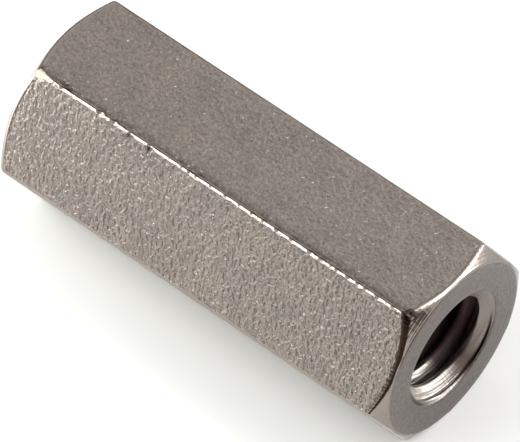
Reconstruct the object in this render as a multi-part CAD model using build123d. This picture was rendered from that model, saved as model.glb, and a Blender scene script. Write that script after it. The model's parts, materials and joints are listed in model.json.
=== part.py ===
from build123d import *
from math import cos, radians, tan
import os

# A coupling nut is one length of drawn hexagon bar, turned at both ends, then drilled, countersunk and tapped
# right through. It lies on one of its flats: the bore runs along X, the upper flat faces +Z, and the origin is
# the middle of the bore, halfway between the end faces. Lengths are in millimetres, angles in degrees.

# Hexagon bar
across_flats = 7.82  # 5/16 in bar, within its band of 7.67 to 7.92
length = 19.05  # 3/4 in from end face to end face
bar_corner_radius = 0.15  # round left by the drawing die

# Turned ends
end_face_step = 0.095  # the flat ring of an end face stops this far inside the bar's flats
chamfer_angle = 34.0  # between the chamfer and the end face
edge_break_radius = 0.13  # tumbled edge along the scallops, where the chamfer meets the bar

# Bore for a 10-32 UNF thread, sized to the crests of that thread
bore_diameter = 4.07
countersink_diameter = 5.13
countersink_depth = 0.41

# Worked out from the sizes above
half_length = length / 2
flat_radius = across_flats / 2
corner_radius = flat_radius / cos(radians(30))
end_face_radius = flat_radius - end_face_step
chamfer_depth = (corner_radius - end_face_radius) * tan(radians(chamfer_angle))


def hexagon_bar():
    """The drawn bar, with a flat above and below and its six long corners rounded."""
    section = RegularPolygon(radius=flat_radius, side_count=6, major_radius=False)
    rounded_section = fillet(section.vertices(), bar_corner_radius)
    return extrude(Plane.YZ * rounded_section, amount=half_length, both=True)


def lathe_blank():
    """The round form that the lathe leaves: chamfers, end faces, countersinks and bore, alike at both ends."""
    bore_radius = bore_diameter / 2
    sink_radius = countersink_diameter / 2
    half_section = Polyline(
        (countersink_depth - half_length, bore_radius),
        (-half_length, sink_radius),
        (-half_length, end_face_radius),
        (chamfer_depth - half_length, corner_radius),
        (half_length - chamfer_depth, corner_radius),
        (half_length, end_face_radius),
        (half_length, sink_radius),
        (half_length - countersink_depth, bore_radius),
        close=True,
    )
    return revolve(make_face(half_section), axis=Axis.X)


def scallop_edges(nut):
    """The wavy lines where chamfers cut the bar: no other edge of the nut is neither straight nor round."""
    plain_kinds = (GeomType.LINE, GeomType.CIRCLE)
    return [edge for edge in nut.edges() if edge.geom_type not in plain_kinds]


def coupling_nut():
    """What the bar and the lathe's form have in common, with the scallops' edges broken."""
    machined = hexagon_bar() & lathe_blank()
    return fillet(scallop_edges(machined), edge_break_radius)


os.makedirs("parts", exist_ok=True)
export_step(coupling_nut(), "parts/coupling_nut.step")
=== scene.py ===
import json

import bmesh
import bpy
import numpy as np
from mathutils import Matrix, Vector


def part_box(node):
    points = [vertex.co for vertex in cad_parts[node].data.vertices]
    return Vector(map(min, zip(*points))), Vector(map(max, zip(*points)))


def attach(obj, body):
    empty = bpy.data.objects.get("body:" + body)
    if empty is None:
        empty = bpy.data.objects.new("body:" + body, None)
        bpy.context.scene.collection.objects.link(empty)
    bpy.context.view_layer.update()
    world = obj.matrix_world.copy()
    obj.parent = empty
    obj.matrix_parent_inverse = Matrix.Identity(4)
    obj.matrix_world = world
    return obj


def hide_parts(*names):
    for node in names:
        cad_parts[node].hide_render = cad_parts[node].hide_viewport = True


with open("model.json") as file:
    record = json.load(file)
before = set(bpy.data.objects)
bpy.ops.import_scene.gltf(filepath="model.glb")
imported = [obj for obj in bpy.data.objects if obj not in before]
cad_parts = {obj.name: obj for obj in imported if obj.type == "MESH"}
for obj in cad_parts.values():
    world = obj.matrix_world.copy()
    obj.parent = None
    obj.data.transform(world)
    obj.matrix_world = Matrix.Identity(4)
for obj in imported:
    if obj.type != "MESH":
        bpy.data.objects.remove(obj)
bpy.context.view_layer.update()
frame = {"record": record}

# The nut: one length of drawn stainless hexagon bar, parted off, turned to a cone at both ends, drilled,
# countersunk and tapped right through, then tumbled with others like it, which rounds and nicks its edges.
# Its length, width and bore are the solid's own; the thread and the wear on its edges are made here.
mm = 0.001
whole_turn = 2 * np.pi
wear_seed = 32
rng = np.random.default_rng(wear_seed)
lowest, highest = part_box("coupling_nut")
tapped_hole = {mount["name"]: mount for mount in frame["record"]["mounts"]}["rod_end_plus_x"]["dims"]
half_length = highest.x
flat_radius = highest.z

# The bar's section: six flats, and six corners rounded by the drawing die and then rounder by wear.
bar_corner_radius = 0.19 * mm
sides = 6
sixth = whole_turn / sides
corner_centre = (flat_radius - bar_corner_radius) / np.cos(sixth / 2)
corner_half = sixth / 2 - np.arctan2(corner_centre * np.sin(sixth / 2), flat_radius)


def hexagon_radius(turn):
    """Distance from the axis to the bar's wall. On a flat it is the flat's distance over the cosine of the
    angle from its normal; within a corner it is where that ray leaves the corner's circle."""
    from_flat = np.abs((turn + sixth / 2) % sixth - sixth / 2)
    from_corner = sixth / 2 - from_flat
    inside = np.maximum(bar_corner_radius**2 - (corner_centre * np.sin(from_corner)) ** 2, 0)
    on_corner = corner_centre * np.cos(from_corner) + np.sqrt(inside)
    return np.where(from_corner < corner_half, on_corner, flat_radius / np.cos(from_flat))


# Columns stand evenly over each rounded corner of the bar, and ever wider apart towards the middle of a flat.
corner_columns, flat_columns = 5, 7
flat_spread = 2.2
on_flat = (np.arange(1, flat_columns + 1) / flat_columns) ** flat_spread
half_flat = np.concatenate([
    np.linspace(0, corner_half, corner_columns + 1),
    corner_half + (sixth / 2 - corner_half) * on_flat,
])
one_flat = np.concatenate([half_flat, sixth - half_flat[-2:0:-1]])
hexagon_turns = (sixth / 2 + np.arange(sides)[:, None] * sixth + one_flat).ravel()
columns = len(hexagon_turns)
even_turns = sixth / 2 + np.arange(columns) * whole_turn / columns
off_corner = (hexagon_turns % sixth - sixth / 2) * corner_centre
near_corner = np.round((hexagon_turns - sixth / 2) / sixth).astype(int) % sides
wall_radius = hexagon_radius(hexagon_turns)

# One end's meridian runs from the wall over the scallop's edge, the chamfer and the ring into the
# countersink. The scallop's easing reaches further at the bar's corners, where tumbling strikes most, and not
# alike at all of them.
ring_step = 0.095 * mm  # the end's flat ring stops this far inside the flats
ring_radius = flat_radius - ring_step
chamfer_angle = np.radians(34)  # from the end face
flat_reach_on_wall, flat_reach_on_chamfer = 0.08 * mm, 0.075 * mm  # the easing's, in the middle of a flat
near_reach_on_wall = np.array([0.07, 0.12, 0.12, 0.12, 0.08, 0.15]) * mm  # and at each corner
near_reach_on_chamfer = np.array([0.05, 0.12, 0.12, 0.12, 0.07, 0.16]) * mm
far_reach_on_wall = np.array([0.07, 0.12, 0.12, 0.12, 0.12, 0.09]) * mm
far_reach_on_chamfer = np.array([0.05, 0.12, 0.12, 0.12, 0.12, 0.09]) * mm
roll_angle = -np.radians(7)  # tumbling also rolls the wall in a little, just before the scallop
roll_flat, roll_reach = 0.06 * mm, 0.03 * mm
rim_reach = 0.06 * mm
crest_radius = tapped_hole["r_mm"] * mm
sink_depth = half_length - tapped_hole["length_mm"] * mm / 2
sink_radius = 2.565 * mm
sink_reach = 0.012 * mm
sink_slope = (sink_radius - crest_radius) / sink_depth
wear_handle_share = 1 / 3
roll_rows, edge_rows, chamfer_rows, rim_rows, ring_rows, sink_rows = 4, 9, 4, 5, 5, 4
scallop_x = half_length - (wall_radius - ring_radius) * np.tan(chamfer_angle)
corner_share = (wall_radius - flat_radius) / (wall_radius.max() - flat_radius)
along_wall = 0.0
along_chamfer = chamfer_angle - np.pi / 2
along_ring = -np.pi / 2
along_sink = -np.pi / 2 - np.arctan(1 / sink_slope)
same = np.ones(columns)


def eased(corner_x, corner_r, way_in, way_out, reach_in, reach_out, steps):
    """A profile's corner worn to a cubic curve: it leaves one line at its reach before the corner, meets the
    other at its reach after it, and touches both. Its inner points lie a third of the way to the corner from
    start and end, so that the middle of the curve is nearly a facet."""
    run = np.linspace(0, 1, steps)[:, None]
    before = (1 - run) ** 3 + 3 * (1 - wear_handle_share) * run * (1 - run) ** 2
    after = run**3 + 3 * (1 - wear_handle_share) * run**2 * (1 - run)
    x = corner_x - before * reach_in * np.cos(way_in) + after * reach_out * np.cos(way_out)
    r = corner_r - before * reach_in * np.sin(way_in) + after * reach_out * np.sin(way_out)
    return x, r


def between(start, end, steps):
    """Evenly spaced rows from one row of points to another, leaving out both."""
    share = np.linspace(0, 1, steps + 2)[1:-1, None]
    return start + share * (end - start)


rim_x, rim_r = eased(half_length, ring_radius, along_chamfer, along_ring, rim_reach, rim_reach, rim_rows)
sink_x, sink_r = eased(half_length, sink_radius, along_ring, along_sink, sink_reach, sink_reach, sink_rows)


def worn_end(reach_on_wall, reach_on_chamfer):
    """One end's rows of x and of radius, from the wall into the countersink. The scallop's easing reaches
    further on either side of it by the share that a point is nearer to a corner than to the middle of a flat;
    the wall rolls in just before it, and straight lines join the eased stretches."""
    more_on_wall = reach_on_wall[near_corner] - flat_reach_on_wall
    wall_reach = flat_reach_on_wall + more_on_wall * corner_share
    more_on_chamfer = reach_on_chamfer[near_corner] - flat_reach_on_chamfer
    chamfer_reach = flat_reach_on_chamfer + more_on_chamfer * corner_share
    roll_length = wall_reach + roll_flat + roll_reach
    roll_x, roll_r = eased(
        scallop_x - roll_length, wall_radius, along_wall, roll_angle, roll_reach, roll_reach, roll_rows
    )
    edge_run = roll_length / (1 + np.tan(roll_angle) * np.tan(chamfer_angle))
    edge_x, edge_r = eased(
        scallop_x - roll_length + edge_run, wall_radius + edge_run * np.tan(roll_angle),
        roll_angle, along_chamfer, wall_reach, chamfer_reach, edge_rows,
    )
    ends = []
    for roll, edge, rim, sink in ((roll_x, edge_x, rim_x, sink_x), (roll_r, edge_r, rim_r, sink_r)):
        ends.append(np.concatenate([
            roll, edge, between(edge[-1], rim[0] * same, chamfer_rows), rim * same,
            between(rim[-1] * same, sink[0] * same, ring_rows), sink * same,
        ]))
    return ends


near_x, near_r = worn_end(near_reach_on_wall, near_reach_on_chamfer)
far_x, far_r = worn_end(far_reach_on_wall, far_reach_on_chamfer)

# Across the ring the columns even out, from the hexagon's spacing to the bore's.
evenness = np.concatenate([
    np.zeros(roll_rows + edge_rows + chamfer_rows + rim_rows),
    np.linspace(0, 1, ring_rows + 2)[1:-1],
    np.ones(sink_rows),
])[:, None]
end_turn = hexagon_turns + evenness * (even_turns - hexagon_turns)

# The wall's rows run from one scallop to the other.
wall_rows = 260
outer_x = np.concatenate([-far_x[::-1], between(-far_x[0], near_x[0], wall_rows), near_x])
outer_r = np.concatenate([far_r[::-1], np.tile(wall_radius, (wall_rows, 1)), near_r])
outer_turn = np.concatenate([end_turn[::-1], np.tile(hexagon_turns, (wall_rows, 1)), end_turn])
scallop_rows = roll_rows + edge_rows
turned_rows = len(near_x) - scallop_rows  # from the chamfer inwards
wall = slice(turned_rows, len(outer_x) - turned_rows)
wall_x = outer_x[wall]

# The upper flat falls off a little towards the corner that faces the camera.
shown = 5  # the corner between the upper flat and the flat that faces the camera
shown_corner = near_corner == shown
droop_deep, droop_reach = 0.028 * mm, 0.11 * mm
arc_half = corner_half * corner_centre
from_arc = np.maximum(np.abs(off_corner) - arc_half, 0)
on_upper_side = np.where(shown_corner, np.clip(off_corner / arc_half, 0, 1), 0)
outer_r[wall] -= droop_deep * on_upper_side * np.exp(-((from_arc / droop_reach) ** 2))

# Tumbling leaves the bar's long corners uneven all along, in short beads that differ by about a hundredth of
# a millimetre and are softened over three rows. They fade out before the ends.
bead_deep, bead_half = 0.012 * mm, 0.08 * mm
new_bead_share = 0.55  # of the rows start a new bead
bead_stop, bead_fade = 0.7 * mm, 0.4 * mm
bead_shape = (len(wall_x), sides)
bead = np.cumsum(rng.random(bead_shape) < new_bead_share, axis=0)
beads = np.take_along_axis(rng.exponential(bead_deep, bead_shape), bead, axis=0)
beads = (np.roll(beads, 1, axis=0) + 2 * beads + np.roll(beads, -1, axis=0)) / 4
beads = beads[:, near_corner] * np.exp(-((off_corner / bead_half) ** 2))
beads *= np.clip((half_length - bead_stop - np.abs(wall_x)) / bead_fade, 0, 1)

# Nicks: each is a smooth hollow, a bell curve along a corner and across it. A row holds its place along the
# bar, how far it lies off the corner, half its length, half its width and its depth. The shown corner's are
# listed one by one.
shown_nicks = np.array([
    [-7.8, 0.02, 0.12, 0.12, 0.03],
    [-4.4, -0.12, 0.08, 0.1, 0.035],
    [-3.4, -0.12, 0.09, 0.12, 0.05],
    [-1.1, 0.02, 0.12, 0.12, 0.03],
    [9.0, 0, 0.22, 0.15, 0.015],
]) * mm
nick_count = 60
nick_span, nick_stray = 9 * mm, 0.05 * mm
shortest_half, longest_half = 0.05 * mm, 0.13 * mm
narrowest_half, widest_half = 0.07 * mm, 0.13 * mm
shallowest, deepest = 0.006 * mm, 0.022 * mm
nick_places = rng.uniform(-nick_span, nick_span, nick_count)
nick_corners = rng.integers(0, sides, nick_count)
random_nicks = np.stack([
    nick_places,
    rng.normal(0, nick_stray, nick_count),
    rng.uniform(shortest_half, longest_half, nick_count),
    rng.uniform(narrowest_half, widest_half, nick_count),
    rng.uniform(shallowest, deepest, nick_count),
], axis=1)
nicks = [(shown_corner, *nick) for nick in shown_nicks]
nicks += [(near_corner == corner, *nick) for corner, nick in zip(nick_corners, random_nicks)]
hollow = np.zeros_like(outer_r[wall])
for on_its_corner, nick_place, nick_off, half_long, half_wide, nick_deep in nicks:
    lengthwise = (wall_x - nick_place) / half_long
    crosswise = np.where(on_its_corner, (off_corner - nick_off) / half_wide, np.inf)
    hollow = np.maximum(hollow, nick_deep * np.exp(-(lengthwise**2) - crosswise**2))
outer_r[wall] -= beads + hollow

# Towards the far end the shown corner is worn to a facet, ever deeper and so ever wider: a plane square to
# the facet's own direction, that sinks as it goes.
facet_turn = np.radians(323)
facet_from, facet_run, facet_deep = -8.25 * mm, 0.75 * mm, 0.095 * mm
deepest_share = 1.2
least_cosine = 0.5  # keeps the plane's radius finite on the bar's other sides
from_facet = np.cos(hexagon_turns - facet_turn)
facet_share = np.clip((facet_from - wall_x) / facet_run, 0, deepest_share)
facet_r = (np.max(wall_radius * from_facet) - facet_deep * facet_share) / np.maximum(from_facet, least_cosine)
past_facet = np.maximum(outer_r[wall] - facet_r, 0)
worn_off = np.where(shown_corner & (facet_share > 0), past_facet, 0)
outer_r[wall] -= worn_off

# How much tumbling has polished each point: all of it on the rounded edges, none on the flats and the ring.
# The chamfer is polished a little all round and more on one side, where the lighter colour that polish gives
# the turned steel is a painted highlight.
polish_half = 0.1 * mm
roll_polish, edge_gain, rim_polish = 0.6, 2, 0.5
rolled_edge_rows = 2
highlight_turn = np.radians(320)
chamfer_least, chamfer_highlight = 0.25, 0.7
burnished_deep = 0.03 * mm  # a hollow this deep is polished all over
facet_edge = 0.01 * mm  # and so is a facet that goes this deep
edge_polish = np.minimum(edge_gain * np.sin(np.linspace(0, np.pi, edge_rows)), 1)
edge_polish[:rolled_edge_rows] = np.maximum(edge_polish[:rolled_edge_rows], roll_polish)
edge_polish = np.concatenate([np.linspace(0, roll_polish, roll_rows), edge_polish])[:, None]
corner_polish = np.exp(-((off_corner / polish_half) ** 6))
chamfer_polish_and_highlight = chamfer_least + chamfer_highlight * np.maximum(np.cos(hexagon_turns - highlight_turn), 0) ** 2
into_chamfer = np.linspace(-1, 1, scallop_rows)[:, None].clip(0, 1) * chamfer_polish_and_highlight
out_of_chamfer = np.linspace(1, 0, rim_rows)[:, None] * chamfer_polish_and_highlight
end_polish_and_highlight = np.concatenate([
    np.maximum(np.maximum(edge_polish, corner_polish), into_chamfer),
    np.tile(chamfer_polish_and_highlight, (chamfer_rows, 1)),
    np.maximum(rim_polish * np.sin(np.linspace(0, np.pi, rim_rows))[:, None], out_of_chamfer),
    np.zeros((ring_rows + sink_rows, columns)),
])
outer_polish_and_highlight = np.concatenate([end_polish_and_highlight[::-1], np.tile(corner_polish, (wall_rows, 1)), end_polish_and_highlight])
outer_polish_and_highlight[wall] = np.maximum(outer_polish_and_highlight[wall], np.minimum(hollow / burnished_deep, 1))
outer_polish_and_highlight[wall] = np.maximum(outer_polish_and_highlight[wall], np.minimum(worn_off / facet_edge, 1))

# Painted shade darkens the near end of the shown corner along the two edges that meet there, and a thin line
# beside the corner, on the upper flat.
corner_shade_long, corner_shade_wide, corner_shade_aside = 0.33 * mm, 0.14 * mm, 0.4 * mm
beside_middle, beside_half, beside_shade = 0.14 * mm, 0.09 * mm, 0.5
from_scallop = wall_x - scallop_x
on_corner_edge = np.exp(-((from_scallop / corner_shade_long) ** 4) - (off_corner / corner_shade_wide) ** 4)
on_scallop_edge = np.exp(-((from_scallop / corner_shade_wide) ** 4) - (off_corner / corner_shade_aside) ** 4)
shade_beside = beside_shade * np.exp(-(((off_corner - beside_middle) / beside_half) ** 2))
corner_shade = np.maximum(on_corner_edge, on_scallop_edge)
outer_painted_shade = np.zeros_like(outer_r)
outer_painted_shade[wall] = np.where(shown_corner, np.maximum(corner_shade, shade_beside), 0)

# The thread: 32 turns to the inch, right-handed, in the standard 60 degree form. Its roots have the flat that
# the tap leaves, and its crests are the bore's wall. Where the tap first touched, it has scored a line around
# the cone.
inch = 25.4 * mm
turns_per_inch = 32
pitch = inch / turns_per_inch
root_radius = 2.435 * mm
root_half_share = 1 / 11  # of the pitch, half the width of the flat at a groove's bottom
root_half = root_half_share * pitch
lowest_turn = np.pi  # the bore's lowest line
first_groove = 0.172 * mm  # from the end face, on that line
root_ease, crest_ease = 0.02 * mm, 0.14 * mm
flank_slope = np.sqrt(3)
score_middle, score_half = np.radians(128), np.radians(28)
score_depth, score_width, score_deep = 0.115 * mm, 0.042 * mm, 0.13 * mm


def eased_min(one, other, ease):
    """The smaller of two lengths, cut back where they are within the ease of each other, so that no edge is
    left: by a quarter of the square of how far they overlap, over the ease."""
    overlap = np.maximum(ease - np.abs(one - other), 0)
    return np.minimum(one, other) - overlap**2 / (4 * ease)


def thread_phase(depth, turn):
    """How many pitches a point lies from the first groove, counted across the helix: whole in a groove's
    bottom."""
    return (depth - first_groove) / pitch - (turn - lowest_turn) / whole_turn


def from_groove(phase):
    """The distance to the nearest groove's bottom, in pitches."""
    return np.abs(phase - np.round(phase))


def bore_radius(depth, turn):
    """Distance from the axis to the bore's wall: the wider of the countersink's cone and the thread. The
    thread's flank falls from the root's flat with the distance from it, and is cut off at root and crest with
    easing; the score is a bell curve along the cone and around it."""
    off_root = from_groove(thread_phase(depth, turn)) * pitch - root_half
    flank = root_radius - flank_slope * off_root
    thread = -eased_min(-eased_min(flank, root_radius, root_ease), -crest_radius, crest_ease)
    from_end = np.minimum(depth, 2 * half_length - depth)
    cone = sink_radius - sink_slope * from_end
    round_score = (turn - score_middle) / score_half
    along_score = (from_end - score_depth) / score_width
    scored = np.exp(-(round_score**2) - along_score**2)
    return np.maximum(thread, cone + score_deep * scored)


# Around each mouth the rows are circles close together, where countersink and thread run into each other.
mouth_step, mouth_depth = 0.025 * mm, 0.85 * mm
mouth_from = half_length - sink_x[-1, 0]
mouth_rows = int(np.ceil((mouth_depth - mouth_from) / mouth_step))
mouth_depths = np.linspace(mouth_from, mouth_depth, mouth_rows + 1)[1:, None] * same
mouth_turn = np.broadcast_to(even_turns, mouth_depths.shape)
near_mouth_r = bore_radius(mouth_depths, mouth_turn)
far_mouth_r = bore_radius(2 * half_length - mouth_depths, mouth_turn)

# Painted shade: a dark line where the cone meets the first groove, from its start to the lower left, where
# it follows the groove inwards. On the left the whole cone is painted with shade.
groove_shade_from, groove_shade_to, groove_shade_fade = np.radians(93), np.radians(226), np.radians(9)
groove_shade_depth = 0.118 * mm
groove_shade_turns = np.radians([95, 125, 150, 165, 185, 225])
groove_shade_halves = np.array([0.014, 0.022, 0.065, 0.05, 0.034, 0.03]) * mm
left_from, left_to, left_fade = np.radians(196), np.radians(290), np.radians(34)
left_depth, left_half = 0.03 * mm, 0.16 * mm


def around_from(start, end, fade):
    """1 from one angle around the bore to another, fading to 0 over the fade at either end."""
    return np.clip((even_turns - start) / fade, 0, 1) * np.clip((end - even_turns) / fade, 0, 1)


groove_shade_half = np.interp(even_turns, groove_shade_turns, groove_shade_halves)
groove_shade_middle = groove_shade_depth + pitch * np.maximum(even_turns - lowest_turn, 0) / whole_turn
groove_shade_line = np.exp(-(((mouth_depths - groove_shade_middle) / groove_shade_half) ** 4))
left_cone_shade = np.exp(-(((mouth_depths - left_depth) / left_half) ** 2))
mouth_painted_shade = np.maximum(
    around_from(groove_shade_from, groove_shade_to, groove_shade_fade) * groove_shade_line,
    around_from(left_from, left_to, left_fade) * left_cone_shade,
)

# Between the mouths the rows follow the helix, so that the edges of the form lie along them. A row that runs
# out of this stretch stays on its last circle, where the points that fall together are merged.
half_form_shares = np.array([0, 0.085, 0.19, 0.3, 0.37, 0.43, 0.5])  # of a pitch, from a root to a crest
root_shade_share = 0.12  # of a pitch: how far painted shade reaches up from a groove's bottom
pitch_shares = np.concatenate([half_form_shares, 1 - half_form_shares[-2:0:-1]])
first_row = thread_phase(mouth_depth, even_turns[-1])
last_row = thread_phase(2 * half_length - mouth_depth, even_turns[0])
grooves = np.arange(np.floor(first_row), np.ceil(last_row) + 1)
row_phase = (grooves[:, None] + pitch_shares).ravel()[:, None]
helix_depth = first_groove + pitch * (row_phase + (even_turns - lowest_turn) / whole_turn)
helix_depth = np.clip(helix_depth, mouth_depth, 2 * half_length - mouth_depth)
helix_turn = np.broadcast_to(even_turns, helix_depth.shape)
helix_r = bore_radius(helix_depth, helix_turn)
# Painted shade at the bottoms of the grooves.
helix_painted_shade = np.exp(-((from_groove(row_phase) / root_shade_share) ** 2)) * same

# The mesh: one sheet from the far mouth over the outside to the near mouth, and the helical sheet between the
# mouths.
sheet_x = np.concatenate([mouth_depths[::-1] - half_length, outer_x, half_length - mouth_depths])
sheet_r = np.concatenate([far_mouth_r[::-1], outer_r, near_mouth_r])
sheet_turn = np.concatenate([mouth_turn, outer_turn, mouth_turn])


def around_axis(x, r, turn):
    """Points at a distance along the bore, a radius from it, and an angle from the upper flat towards +Y."""
    return np.stack([x, r * np.sin(turn), r * np.cos(turn)], axis=-1).reshape(-1, 3)


def sheet_faces(rows, first, turn_rows):
    """Quads, facing out of the steel, over a grid of rows and columns that closes on itself around the axis;
    a helical sheet's last column meets its first one a whole turn's rows further on."""
    index = first + np.arange(rows * columns).reshape(rows, columns)
    met = np.minimum(np.arange(rows) + turn_rows, rows - 1)
    beside = np.concatenate([index[:, 1:], index[met, :1]], axis=1)
    return np.stack([index[:-1], index[1:], beside[1:], beside[:-1]], axis=-1).reshape(-1, 4)


sheet_points = around_axis(sheet_x, sheet_r, sheet_turn)
helix_points = around_axis(half_length - helix_depth, helix_r, helix_turn)
faces = np.concatenate([
    sheet_faces(len(sheet_x), 0, 0),
    sheet_faces(len(helix_r), len(sheet_points), len(pitch_shares)),
])
drawn, turned, threaded = 0, 1, 2
mouth_finish = np.full(mouth_rows, threaded)
mouth_finish[0] = turned  # the countersink's rim
end_finish = np.concatenate([np.full(scallop_rows - 1, drawn), np.full(turned_rows, turned)])
sheet_finish = np.concatenate([
    mouth_finish[::-1], end_finish[::-1], np.full(wall_rows + 1, drawn), end_finish, mouth_finish,
])
finish = np.concatenate([
    np.repeat(sheet_finish, columns),
    np.full((len(helix_r) - 1) * columns, threaded),
]).astype(np.int32)
clean_mouth = np.zeros_like(mouth_depths)
polish_and_highlight = np.concatenate([clean_mouth, outer_polish_and_highlight, clean_mouth, np.zeros_like(helix_r)])
painted_shade = np.concatenate([clean_mouth, outer_painted_shade, mouth_painted_shade, helix_painted_shade])
nut_mesh = bpy.data.meshes.new("coupling_nut_steel")
nut_mesh.from_pydata(np.concatenate([sheet_points, helix_points]).tolist(), [], faces.tolist())
nut_mesh.polygons.foreach_set("material_index", finish)
for attribute, share in (("polish_and_highlight", polish_and_highlight), ("painted_shade", painted_shade)):
    shares = share.ravel().astype(np.float32)
    nut_mesh.attributes.new(attribute, "FLOAT", "POINT").data.foreach_set("value", shares)
merge_distance = 0.0002 * mm
sharp_angle = np.radians(40)
shell = bmesh.new()
shell.from_mesh(nut_mesh)
bmesh.ops.remove_doubles(shell, verts=shell.verts, dist=merge_distance)
shell.to_mesh(nut_mesh)
shell.free()
nut_mesh.shade_smooth()
nut_mesh.set_sharp_from_angle(angle=sharp_angle)
nut = bpy.data.objects.new("nut", nut_mesh)
bpy.context.scene.collection.objects.link(nut)


def linear(hex_colour):
    """An sRGB hex colour as linear light, with an alpha of 1."""
    srgb = np.array([int(hex_colour[i:i + 2], 16) for i in (1, 3, 5)]) / 255
    light = np.where(srgb <= 0.04045, srgb / 12.92, ((srgb + 0.055) / 1.055) ** 2.4)
    return (*light.tolist(), 1.0)


def add(tree, kind, inputs=None, **settings):
    """Adds a node with its settings, and gives each input a constant or a link from another node's socket."""
    node = tree.nodes.new(kind)
    for name, value in settings.items():
        setattr(node, name, value)
    for name, value in (inputs or {}).items():
        if isinstance(value, bpy.types.NodeSocket):
            tree.links.new(value, node.inputs[name])
        else:
            node.inputs[name].default_value = value
    return node


def empty_tree(owner):
    """The owner's node tree, with no nodes in it."""
    owner.use_nodes = True
    owner.node_tree.nodes.clear()
    return owner.node_tree


def spokes(tree, place, spoke_share, detail):
    """Noise that changes only with the direction from the axis, in spokes as wide as a share of the
    radius."""
    across = add(tree, "ShaderNodeVectorMath", {0: place, 1: (0, 1, 1)}, operation="MULTIPLY").outputs[0]
    direction = add(tree, "ShaderNodeVectorMath", {0: across}, operation="NORMALIZE").outputs[0]
    noise = add(tree, "ShaderNodeTexNoise", {"Vector": direction, "Scale": 1 / spoke_share, "Detail": detail})
    return noise.outputs["Fac"]


def sparkle(tree, place):
    """The crystals in bare steel, each a little lighter or darker: noise with its middle drawn out. They are
    really a few hundredths of a millimetre across, and are drawn coarser so that they show."""
    crystal = 0.11 * mm
    darkest, lightest = 0.3, 0.7
    noise = add(tree, "ShaderNodeTexNoise", {"Vector": place, "Scale": 1 / crystal, "Detail": 1.0})
    spread = add(tree, "ShaderNodeMapRange", {
        "Value": noise.outputs["Fac"], "From Min": darkest, "From Max": lightest,
    })
    return spread.outputs["Result"]


# Drawn and tumbled stainless steel: a satin, slightly warm grey, matted all over by short strokes of the
# chips that it was tumbled with, with fine sparkle, a few dints, some painted bright as glints and some
# painted dark as shade in a pit, and edges that the chips have burnished bright. Painted shade darkens the
# shown corner's near end and a thin line beside it.
dull_cloud, warm_cloud = linear("#9a8f8e"), linear("#b2a89c")
dim_crystal, light_crystal = linear("#d2d2d2"), linear("#f4f4f4")
painted_glint, painted_pit_shade = linear("#cbc4ba"), linear("#3f3936")
burnished_edge, painted_edge_shade = linear("#968c84"), linear("#3a2d2b")
chip_mark_long, chip_mark_across, chip_mark_deep = 0.235 * mm, 0.17 * mm, 0.07 * mm
stroke_way = Vector((-0.386, 0.5, 0.866)).normalized()  # up the flat that faces the camera, and back along it
dint_spacing = 0.4 * mm
dint_middle_share, dint_edge_share = 0.04, 0.12  # of the spacing
dint_deep_share = 0.35  # of the chip marks' depth
bright_from_share, bright_to_share = 0.45, 0.6  # dints that draw more than this are bright
dark_to_share, dark_from_share = 0.06, 0.1  # and those that draw less than this are dark
smooth_from, smooth_left = 0.6, 0.07  # the polish that takes the marks away, and what it leaves of them
tooth_share, tooth_deep_share = 0.02, 0.12  # width of the burnished edges' teeth, and how deep they are
teeth_from, teeth_to = half_length - 0.8 * mm, half_length - 0.5 * mm
cloud_size = 1.4 * mm
mean_height = 0.5
satin_roughness, burnished_roughness = 0.3, 0.11
drawn_steel = bpy.data.materials.new("drawn_and_tumbled_stainless_steel")
tree = empty_tree(drawn_steel)
place = add(tree, "ShaderNodeTexCoord").outputs["Object"]
polish_and_highlight_share = add(tree, "ShaderNodeAttribute", attribute_name="polish_and_highlight").outputs["Fac"]
painted_shade_share = add(tree, "ShaderNodeAttribute", attribute_name="painted_shade").outputs["Fac"]

run = add(tree, "ShaderNodeVectorMath", {0: place, 1: stroke_way}, operation="DOT_PRODUCT").outputs["Value"]
shortened = add(tree, "ShaderNodeMath", {
    0: run, 1: chip_mark_across / chip_mark_long - 1,
}, operation="MULTIPLY")
along_stroke = add(tree, "ShaderNodeVectorMath", {
    0: stroke_way, "Scale": shortened.outputs[0],
}, operation="SCALE")
squeezed = add(tree, "ShaderNodeVectorMath", {
    0: place, 1: along_stroke.outputs[0],
}, operation="ADD").outputs[0]
grain = add(tree, "ShaderNodeTexNoise", {
    "Vector": squeezed, "Scale": 1 / chip_mark_across, "Detail": 2.0, "Roughness": 0.55,
})
dints = add(tree, "ShaderNodeTexVoronoi", {"Vector": place, "Scale": 1 / dint_spacing})
dint_draw = add(tree, "ShaderNodeSeparateColor", {"Color": dints.outputs["Color"]}).outputs["Red"]
dint = add(tree, "ShaderNodeMapRange", {
    "Value": dints.outputs["Distance"], "From Min": dint_middle_share, "From Max": dint_edge_share,
    "To Min": 1.0, "To Max": 0.0,
})
is_bright = add(tree, "ShaderNodeMapRange", {
    "Value": dint_draw, "From Min": bright_from_share, "From Max": bright_to_share,
})
is_dark = add(tree, "ShaderNodeMapRange", {
    "Value": dint_draw, "From Min": dark_to_share, "From Max": dark_from_share, "To Min": 1.0, "To Max": 0.0,
})
bright = add(tree, "ShaderNodeMath", {0: dint.outputs[0], 1: is_bright.outputs[0]}, operation="MULTIPLY")
dark = add(tree, "ShaderNodeMath", {0: dint.outputs[0], 1: is_dark.outputs[0]}, operation="MULTIPLY")

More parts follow.
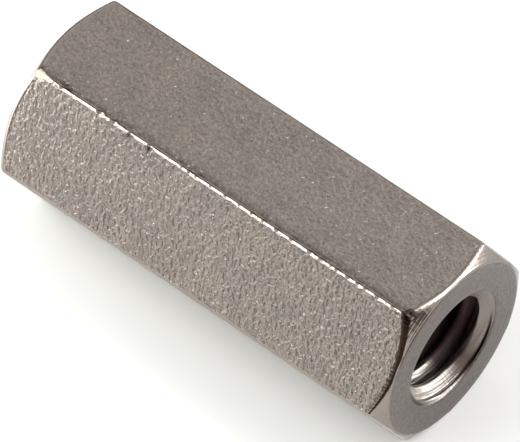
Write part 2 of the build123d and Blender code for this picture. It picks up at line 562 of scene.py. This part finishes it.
rough_left = add(tree, "ShaderNodeMapRange", {
    "Value": polish_and_highlight_share, "From Max": smooth_from, "To Min": 1.0, "To Max": smooth_left,
})
level_grain = add(tree, "ShaderNodeMath", {0: grain.outputs["Fac"], 1: mean_height}, operation="SUBTRACT")
dinted = add(tree, "ShaderNodeMath", {
    0: dint.outputs[0], 1: -dint_deep_share, 2: level_grain.outputs[0],
}, operation="MULTIPLY_ADD")
marks = add(tree, "ShaderNodeMath", {
    0: dinted.outputs[0], 1: rough_left.outputs["Result"],
}, operation="MULTIPLY")
along_bar = add(tree, "ShaderNodeSeparateXYZ", {"Vector": place}).outputs["X"]
from_middle = add(tree, "ShaderNodeMath", {0: along_bar}, operation="ABSOLUTE")
near_end = add(tree, "ShaderNodeMapRange", {
    "Value": from_middle.outputs[0], "From Min": teeth_from, "From Max": teeth_to,
})
end_edge = add(tree, "ShaderNodeMath", {0: near_end.outputs[0], 1: polish_and_highlight_share}, operation="MULTIPLY")
tooth_height = add(tree, "ShaderNodeMath", {
    0: end_edge.outputs[0], 1: tooth_deep_share,
}, operation="MULTIPLY")
teeth = spokes(tree, place, tooth_share, detail=1.0)
level_teeth = add(tree, "ShaderNodeMath", {0: teeth, 1: mean_height}, operation="SUBTRACT")
toothed = add(tree, "ShaderNodeMath", {
    0: tooth_height.outputs[0], 1: level_teeth.outputs[0],
}, operation="MULTIPLY")
height = add(tree, "ShaderNodeMath", {0: marks.outputs[0], 1: toothed.outputs[0]}, operation="ADD")
bump = add(tree, "ShaderNodeBump", {"Height": height.outputs[0], "Distance": chip_mark_deep, "Strength": 1.0})

clouds = add(tree, "ShaderNodeTexNoise", {"Vector": place, "Scale": 1 / cloud_size, "Detail": 3.0})
clouded = add(tree, "ShaderNodeMixRGB", {
    "Fac": clouds.outputs["Fac"], "Color1": dull_cloud, "Color2": warm_cloud,
})
speckled = add(tree, "ShaderNodeMixRGB", {
    "Fac": sparkle(tree, place), "Color1": dim_crystal, "Color2": light_crystal,
})
matted = add(tree, "ShaderNodeMixRGB", {
    "Fac": 1.0, "Color1": clouded.outputs[0], "Color2": speckled.outputs[0],
}, blend_type="MULTIPLY")
# The dints' colours: painted glints and painted shade in pits.
brightened = add(tree, "ShaderNodeMixRGB", {
    "Fac": bright.outputs[0], "Color1": matted.outputs[0], "Color2": painted_glint,
})
darkened = add(tree, "ShaderNodeMixRGB", {
    "Fac": dark.outputs[0], "Color1": brightened.outputs[0], "Color2": painted_pit_shade,
})
edged = add(tree, "ShaderNodeMixRGB", {
    "Fac": polish_and_highlight_share, "Color1": darkened.outputs[0], "Color2": burnished_edge,
})
# Painted shade: darkens the shown corner's near end and the thin line beside it.
shaded = add(tree, "ShaderNodeMixRGB", {"Fac": painted_shade_share, "Color1": edged.outputs[0], "Color2": painted_edge_shade})
gloss = add(tree, "ShaderNodeMapRange", {
    "Value": polish_and_highlight_share, "To Min": satin_roughness, "To Max": burnished_roughness,
})
steel = add(tree, "ShaderNodeBsdfPrincipled", {
    "Base Color": shaded.outputs[0], "Metallic": 1.0, "Roughness": gloss.outputs["Result"],
    "Normal": bump.outputs["Normal"],
})
add(tree, "ShaderNodeOutputMaterial", {"Surface": steel.outputs["BSDF"]})

# Turned stainless steel: the lathe's feed leaves fine rings around the axis, and the chatter of its
# interrupted cut leaves faint spokes across them, stronger on the chamfer. Its colour is painted darker than
# the tumbled steel, as painted shade for the shadowed floor that the ring and cone mirror, and lighter where
# it is polished; on one side of the chamfer that lighter colour is a painted highlight.
# Painted shade: both cut colours are darker than the tumbled steel.
shaded_dark_cut, shaded_light_cut, rubbed_and_highlight = linear("#655e5b"), linear("#79716d"), linear("#9d948c")
feed, feed_deep = 0.1 * mm, 0.006 * mm
chatter_share = 0.04  # width of a spoke, of the radius
chatter_on_ring, chatter_on_chamfer, chatter_grows = 1.0, 2.0, 0.4 * mm
cut_roughness, rubbed_roughness = 0.28, 0.15
turned_steel = bpy.data.materials.new("turned_stainless_steel")
tree = empty_tree(turned_steel)
place = add(tree, "ShaderNodeTexCoord").outputs["Object"]
polish_and_highlight_share = add(tree, "ShaderNodeAttribute", attribute_name="polish_and_highlight").outputs["Fac"]
off_axis = add(tree, "ShaderNodeVectorMath", {0: place, 1: (0, 1, 1)}, operation="MULTIPLY").outputs[0]
radius = add(tree, "ShaderNodeVectorMath", {0: off_axis}, operation="LENGTH").outputs["Value"]
rings = add(tree, "ShaderNodeTexNoise", {
    "W": radius, "Scale": 1 / feed, "Detail": 1.0,
}, noise_dimensions="1D")
chatter = add(tree, "ShaderNodeMapRange", {
    "Value": radius, "From Min": ring_radius, "From Max": ring_radius + chatter_grows,
    "To Min": chatter_on_ring, "To Max": chatter_on_chamfer,
})
height = add(tree, "ShaderNodeMath", {
    0: spokes(tree, place, chatter_share, detail=2.0), 1: chatter.outputs["Result"], 2: rings.outputs["Fac"],
}, operation="MULTIPLY_ADD")
bump = add(tree, "ShaderNodeBump", {"Height": height.outputs[0], "Distance": feed_deep, "Strength": 1.0})
cut = add(tree, "ShaderNodeMixRGB", {"Fac": sparkle(tree, place), "Color1": shaded_dark_cut, "Color2": shaded_light_cut})
# Lighter where polished; on one side of the chamfer this is a painted highlight.
rubbed = add(tree, "ShaderNodeMixRGB", {"Fac": polish_and_highlight_share, "Color1": cut.outputs[0], "Color2": rubbed_and_highlight})
gloss = add(tree, "ShaderNodeMapRange", {
    "Value": polish_and_highlight_share, "To Min": cut_roughness, "To Max": rubbed_roughness,
})
steel = add(tree, "ShaderNodeBsdfPrincipled", {
    "Base Color": rubbed.outputs[0], "Metallic": 1.0, "Roughness": gloss.outputs["Result"],
    "Normal": bump.outputs["Normal"],
})
add(tree, "ShaderNodeOutputMaterial", {"Surface": steel.outputs["BSDF"]})

# Tapped stainless steel: left as the tap left it, brighter than the tumbled outside, with fine ridges along
# the thread and short tears across it. Its colour holds painted light and shade: lightest along one stretch
# where light falls into the mouth, painted shade towards the mouth's sides and in a brown patch on its right,
# and further in a painted brown shade, where the steel is also rougher. Painted shade also darkens the
# grooves' bottoms and a line along the mouth's first groove.
torn_dark, torn_bright, painted_side_shade = linear("#7f7973"), linear("#cac3bb"), linear("#938a84")
painted_brown_shade, painted_inside_shade, painted_thread_shade = linear("#70625f"), linear("#6b5c5a"), linear("#2b211d")
ridge, ridge_deep = 0.055 * mm, 0.03 * mm
ridge_run = 0.7  # radians around the bore
tear_share, tear_deep_share = 0.04, 0.6  # width of a tear, of the radius, and depth, of the ridges'
streak_dark, streak_bright = 0.36, 0.62  # heights of the ridges
lit_stretch_aside = -0.4 * mm  # where the painted light stretch has its middle
aside_weight, depth_weight = 0.45, 0.3
side_shade_from, side_shade_to = depth_weight * half_length + 0.2 * mm, depth_weight * half_length + 0.9 * mm
right_from, right_to = -0.1 * mm, 0.4 * mm
first_turn_end, first_turn_start = half_length - 0.85 * mm, half_length - 0.65 * mm
second_turn_end, second_turn_start = half_length - 1.8 * mm, half_length - 1.45 * mm
brown_shade_middle = np.radians(-27)  # from the bore's lowest line
brown_shade_full, brown_shade_end = 0.08, 0.42  # radians from its middle
tapped_roughness, inside_roughness = 0.36, 0.74
tapped_steel = bpy.data.materials.new("tapped_stainless_steel")
tree = empty_tree(tapped_steel)
place = add(tree, "ShaderNodeTexCoord").outputs["Object"]
painted_shade_share = add(tree, "ShaderNodeAttribute", attribute_name="painted_shade").outputs["Fac"]
parts = add(tree, "ShaderNodeSeparateXYZ", {"Vector": place}).outputs
from_middle = add(tree, "ShaderNodeMath", {0: parts["X"]}, operation="ABSOLUTE").outputs[0]

# Angles around the bore are counted from its lowest line, so that they jump at the top, out of sight.
upside_down = add(tree, "ShaderNodeVectorMath", {0: place, 1: (1, -1, -1)}, operation="MULTIPLY").outputs[0]
upside_down = add(tree, "ShaderNodeSeparateXYZ", {"Vector": upside_down}).outputs
around = add(tree, "ShaderNodeMath", {
    0: upside_down["Y"], 1: upside_down["Z"],
}, operation="ARCTAN2").outputs[0]
helix = add(tree, "ShaderNodeMath", {
    0: around, 1: pitch / whole_turn, 2: parts["X"],
}, operation="MULTIPLY_ADD").outputs[0]
on_helix = add(tree, "ShaderNodeCombineXYZ", {"X": helix, "Y": around}).outputs[0]
ridge_place = add(tree, "ShaderNodeVectorMath", {
    0: on_helix, 1: (1 / ridge, 1 / ridge_run, 0),
}, operation="MULTIPLY").outputs[0]
ridges = add(tree, "ShaderNodeTexNoise", {"Vector": ridge_place, "Scale": 1.0, "Detail": 2.0}).outputs["Fac"]
torn = add(tree, "ShaderNodeMath", {
    0: spokes(tree, place, tear_share, detail=3.0), 1: tear_deep_share, 2: ridges,
}, operation="MULTIPLY_ADD")
bump = add(tree, "ShaderNodeBump", {"Height": torn.outputs[0], "Distance": ridge_deep, "Strength": 1.0})

off_bright = add(tree, "ShaderNodeMath", {0: parts["Y"], 1: -lit_stretch_aside}, operation="ADD")
off_bright = add(tree, "ShaderNodeMath", {0: off_bright.outputs[0]}, operation="ABSOLUTE")
off_bright = add(tree, "ShaderNodeMath", {0: off_bright.outputs[0], 1: aside_weight}, operation="MULTIPLY")
off_lit_stretch = add(tree, "ShaderNodeMath", {
    0: from_middle, 1: depth_weight, 2: off_bright.outputs[0],
}, operation="MULTIPLY_ADD")
side_shade = add(tree, "ShaderNodeMapRange", {
    "Value": off_lit_stretch.outputs[0], "From Min": side_shade_from, "From Max": side_shade_to,
})
beyond_first = add(tree, "ShaderNodeMapRange", {
    "Value": from_middle, "From Min": first_turn_end, "From Max": first_turn_start,
    "To Min": 1.0, "To Max": 0.0,
})
beyond_second = add(tree, "ShaderNodeMapRange", {
    "Value": from_middle, "From Min": second_turn_end, "From Max": second_turn_start,
    "To Min": 1.0, "To Max": 0.0,
})
on_right = add(tree, "ShaderNodeMapRange", {
    "Value": parts["Y"], "From Min": right_from, "From Max": right_to,
})
inside_shade_right = add(tree, "ShaderNodeMath", {
    0: beyond_first.outputs["Result"], 1: on_right.outputs["Result"],
}, operation="MULTIPLY")
inside_shade_and_roughness = add(tree, "ShaderNodeMath", {
    0: inside_shade_right.outputs[0], 1: beyond_second.outputs["Result"],
}, operation="MAXIMUM").outputs[0]
from_brown_shade = add(tree, "ShaderNodeMath", {0: around, 1: brown_shade_middle}, operation="SUBTRACT")
from_brown_shade = add(tree, "ShaderNodeMath", {0: from_brown_shade.outputs[0]}, operation="ABSOLUTE")
in_brown_shade = add(tree, "ShaderNodeMapRange", {
    "Value": from_brown_shade.outputs[0], "From Min": brown_shade_full, "From Max": brown_shade_end,
    "To Min": 1.0, "To Max": 0.0,
})

streak = add(tree, "ShaderNodeMapRange", {
    "Value": ridges, "From Min": streak_dark, "From Max": streak_bright,
})
colour = add(tree, "ShaderNodeMixRGB", {
    "Fac": streak.outputs["Result"], "Color1": torn_dark, "Color2": torn_bright,
})
# Painted light and shade laid over the tapped steel's colour.
for cover, cover_colour in (
    (side_shade.outputs["Result"], painted_side_shade), (in_brown_shade.outputs["Result"], painted_brown_shade),
    (inside_shade_and_roughness, painted_inside_shade), (painted_shade_share, painted_thread_shade),
):
    colour = add(tree, "ShaderNodeMixRGB", {
        "Fac": cover, "Color1": colour.outputs[0], "Color2": cover_colour,
    })
gloss = add(tree, "ShaderNodeMapRange", {
    "Value": inside_shade_and_roughness, "To Min": tapped_roughness, "To Max": inside_roughness,
})
steel = add(tree, "ShaderNodeBsdfPrincipled", {
    "Base Color": colour.outputs[0], "Metallic": 1.0, "Roughness": gloss.outputs["Result"],
    "Normal": bump.outputs["Normal"],
})
add(tree, "ShaderNodeOutputMaterial", {"Surface": steel.outputs["BSDF"]})

for material in (drawn_steel, turned_steel, tapped_steel):
    nut_mesh.materials.append(material)
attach(nut, "root")
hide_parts("coupling_nut")

# The floor: a wide sheet of matt white card that the nut lies on. Paper pulp scatters light evenly, so it
# shows no gloss, only the nut's soft shadow.
floor_half = 150 * mm
floor_white = "#fafaf8"
unit_square = [(-1, -1), (1, -1), (1, 1), (-1, 1)]


def matt_card(name, hex_colour):
    """A material of plain card: diffuse, in one colour."""
    card = bpy.data.materials.new(name)
    card_tree = empty_tree(card)
    paper = add(card_tree, "ShaderNodeBsdfDiffuse", {"Color": linear(hex_colour)})
    add(card_tree, "ShaderNodeOutputMaterial", {"Surface": paper.outputs["BSDF"]})
    return card


floor_mesh = bpy.data.meshes.new("floor")
floor_corners = [(x * floor_half, y * floor_half, lowest.z) for x, y in unit_square]
floor_mesh.from_pydata(floor_corners, [], [(0, 1, 2, 3)])
floor_mesh.materials.append(matt_card("matt_white_card", floor_white))
floor = bpy.data.objects.new("floor", floor_mesh)
bpy.context.scene.collection.objects.link(floor)


# The studio: soft boxes around the nut, in a white room, and brown and grey cards that only reflections show,
# so that each flat, chamfer and edge of the bare metal has its own light or dark to mirror.
def facing(toward, long_way):
    """A turn whose Z axis points that way from the nut, with Y as near as can be to the long way."""
    z = Vector(toward).normalized()
    y = (Vector(long_way) - z * z.dot(Vector(long_way))).normalized()
    return Matrix((y.cross(z), y, z)).transposed()


def softbox(name, toward, long_way, distance, width, length, radiance, tint):
    """A rectangular lamp of even radiance, that far from the nut and turned to face it."""
    lamp = bpy.data.lights.new(name, "AREA")
    lamp.color = linear(tint)[:3]
    lamp.shape = "RECTANGLE"
    lamp.size = width
    lamp.size_y = length
    lamp.energy = radiance * np.pi * width * length
    box = bpy.data.objects.new(name, lamp)
    turn = facing(toward, long_way)
    box.matrix_world = Matrix.Translation(turn.col[2] * distance) @ turn.to_4x4()
    box.visible_camera = False
    bpy.context.scene.collection.objects.link(box)


def flag(name, toward, long_way, distance, width, length, lean, card):
    """A card that far from the nut, turned to face it, which only reflections show. Its upright edges lean,
    by that share of their height."""
    turn = facing(toward, long_way)
    half_width, half_height = width / 2, length / 2
    flag_corners = [
        turn @ Vector((x * half_width + y * lean * half_height, y * half_height, distance))
        for x, y in unit_square
    ]
    mesh = bpy.data.meshes.new(name)
    mesh.from_pydata(flag_corners, [], [(0, 1, 2, 3)])
    mesh.materials.append(card)
    held = bpy.data.objects.new(name, mesh)
    held.visible_camera = held.visible_diffuse = held.visible_shadow = False
    bpy.context.scene.collection.objects.link(held)


upright, along_nut, up_slope = (0, 0, 1), (1, 0, 0), (0, 0.77, 0.64)
white, greenish, cool = "#ffffff", "#f4fff0", "#f8fffa"
brown_card = matt_card("matt_brown_card", "#5a4a42")
grey_card = matt_card("matt_grey_card", "#b6aca3")
# A lamp's name, the way to it, its long way, its distance, width and length, its radiance and its tint
softboxes = [
    ("front_left_strip", (-0.435, -0.585, 0.685), up_slope, 400 * mm, 80 * mm, 440 * mm, 5.0, white),
    ("back_right_strip", (0.65, 0.545, 0.53), upright, 400 * mm, 240 * mm, 500 * mm, 3.4, white),
    ("back_right_panel", (0.69, 0.72, 0.1), upright, 100 * mm, 40 * mm, 26 * mm, 7.5, white),
    ("left_panel", (-0.9, -0.42, 0.14), upright, 120 * mm, 145 * mm, 50 * mm, 0.7, greenish),
    ("left_high_panel", (-0.65, -0.40, 0.645), upright, 120 * mm, 66 * mm, 62 * mm, 3.0, cool),
    ("left_low_panel", (-0.937, -0.333, 0.108), upright, 24 * mm, 13 * mm, 13 * mm, 3.0, white),
]
# A card's name, the way to it, its long way, its distance, width and length, its lean and its material
flags = [
    ("front_right_flag", (0.62, -0.782, 0.15), upright, 80 * mm, 270 * mm, 50 * mm, -1.0, brown_card),
    ("front_low_flag", (0.81, -0.58, 0.06), upright, 16.5 * mm, 8 * mm, 9.5 * mm, 0, brown_card),
    ("end_flag", (1.0, 0.016, -0.095), upright, 15.5 * mm, 5.5 * mm, 5 * mm, 0, grey_card),
    ("left_flag", (-0.65, -0.757, 0.07), upright, 58 * mm, 11 * mm, 16 * mm, 0, brown_card),
    ("high_flag", (-0.177, 0.469, 0.864), along_nut, 300 * mm, 50 * mm, 42 * mm, 0, brown_card),
    ("camera_front", (0.394, -0.469, 0.79), upright, 300 * mm, 260 * mm, 260 * mm, 0, brown_card),
    ("overhead_flag", (-0.39, 0.10, 0.91), along_nut, 200 * mm, 70 * mm, 200 * mm, 0, brown_card),
    ("back_flag", (-0.74, 0.64, 0.15), upright, 20 * mm, 50 * mm, 13.8 * mm, 0, grey_card),
]
for lamp_values in softboxes:
    softbox(*lamp_values)
for flag_values in flags:
    flag(*flag_values)

# The room: plain white walls all around, seen and mirrored at full strength. They light the floor less, so
# that the nut keeps a soft shadow on the white card.
room_light, room_seen = 0.7, 1.0
room = bpy.data.worlds.new("white_room")
bpy.context.scene.world = room
tree = empty_tree(room)
ray = add(tree, "ShaderNodeLightPath").outputs
seen = add(tree, "ShaderNodeMath", {0: ray["Is Camera Ray"], 1: ray["Is Glossy Ray"]}, operation="ADD")
seen = add(tree, "ShaderNodeMath", {
    0: seen.outputs[0], 1: ray["Is Transmission Ray"],
}, operation="ADD", use_clamp=True)
level = add(tree, "ShaderNodeMapRange", {"Value": seen.outputs[0], "To Min": room_light, "To Max": room_seen})
walls = add(tree, "ShaderNodeBackground", {"Color": linear(white), "Strength": level.outputs["Result"]})
add(tree, "ShaderNodeOutputWorld", {"Surface": walls.outputs["Background"]})

# The camera: a long lens that looks down on the nut, past the left of its near end. Its place, its focal
# length in pixels and the point that it aims at were fitted to the nut's outline in the picture.
azimuth, elevation = np.radians(40.02), np.radians(52.21)
camera_distance = 386.8 * mm
picture_width, focal_length_in_pixels = 520, 10210.4
aim_right, aim_down = 0.0432 * mm, 0.0506 * mm
nearest_seen = 10 * mm
lens = bpy.data.cameras.new("camera")
lens.sensor_width = 36.0
lens.lens = focal_length_in_pixels / picture_width * lens.sensor_width
lens.clip_start = nearest_seen
camera = bpy.data.objects.new("camera", lens)
back = Vector((np.sin(azimuth) * np.cos(elevation), -np.cos(azimuth) * np.cos(elevation), np.sin(elevation)))
right = Vector((np.cos(azimuth), np.sin(azimuth), 0))
up = back.cross(right)
camera.location = right * aim_right - up * aim_down + back * camera_distance
camera.rotation_euler = back.to_track_quat("Z", "Y").to_euler()
bpy.context.scene.collection.objects.link(camera)
bpy.context.scene.camera = camera
bpy.context.scene.view_settings.view_transform = "Standard"
